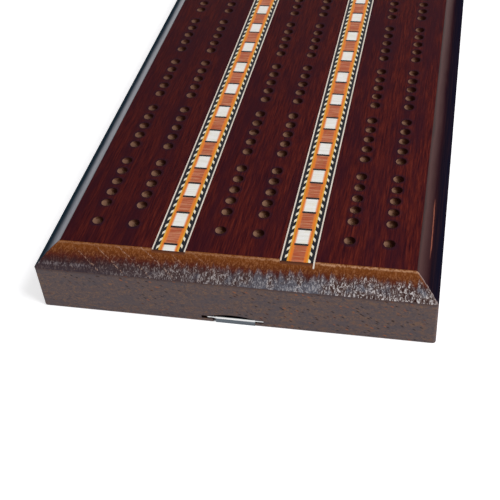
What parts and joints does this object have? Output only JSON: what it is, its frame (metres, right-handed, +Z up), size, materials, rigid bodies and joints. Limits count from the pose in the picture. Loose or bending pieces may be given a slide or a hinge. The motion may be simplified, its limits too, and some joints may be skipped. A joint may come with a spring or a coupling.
{
  "type": "cribbage board",
  "caption": "Flat hardwood cribbage board for three players, with rows of peg holes, inlaid marquetry bands and a peg compartment under a sliding metal cover.",
  "frame": {"origin": "middle of the underside", "axes": "+X across the board, +Y from the near end, where the compartment opens, to the far end, +Z up to the playing face"},
  "size_m": [0.11, 0.203, 0.0196],
  "materials": {
    "stained_hardwood": "dark red-brown stain under a thin satin finish",
    "brown_veneer": "satin, cross-banded",
    "white_veneer": "satin, bleached pale wood",
    "black_veneer": "satin, dyed black",
    "orange_veneer": "satin, dyed",
    "yellow_veneer": "satin, dyed",
    "rope_strip": "satin, slanted light and black chips",
    "steel_sheet": "dull plated steel sheet"
  },
  "bodies": {
    "board": {"board": "stained_hardwood", "left_band_brown_tiles": "brown_veneer", "left_band_light_tiles": "white_veneer", "left_band_black_bars": "black_veneer", "left_band_orange_outer": "orange_veneer", "left_band_orange_inner": "orange_veneer", "left_band_yellow_outer": "yellow_veneer", "left_band_yellow_inner": "yellow_veneer", "left_band_rope_outer": "rope_strip", "left_band_rope_inner": "rope_strip", "left_band_black_outer": "black_veneer", "left_band_black_inner": "black_veneer", "left_band_white_outer": "white_veneer", "left_band_white_inner": "white_veneer", "right_band_brown_tiles": "brown_veneer", "right_band_light_tiles": "white_veneer", "right_band_black_bars": "black_veneer", "right_band_orange_outer": "orange_veneer", "right_band_orange_inner": "orange_veneer", "right_band_yellow_outer": "yellow_veneer", "right_band_yellow_inner": "yellow_veneer", "right_band_rope_outer": "rope_strip", "right_band_rope_inner": "rope_strip", "right_band_black_outer": "black_veneer", "right_band_black_inner": "black_veneer", "right_band_white_outer": "white_veneer", "right_band_white_inner": "white_veneer"},
    "cover": {"cover_plate": "steel_sheet"}
  },
  "joints": [
    {"name": "cover_slide", "type": "slide", "parent": "board", "child": "cover", "axis": [0, -1, 0], "range_m": [0, 0.101]}
  ]
}
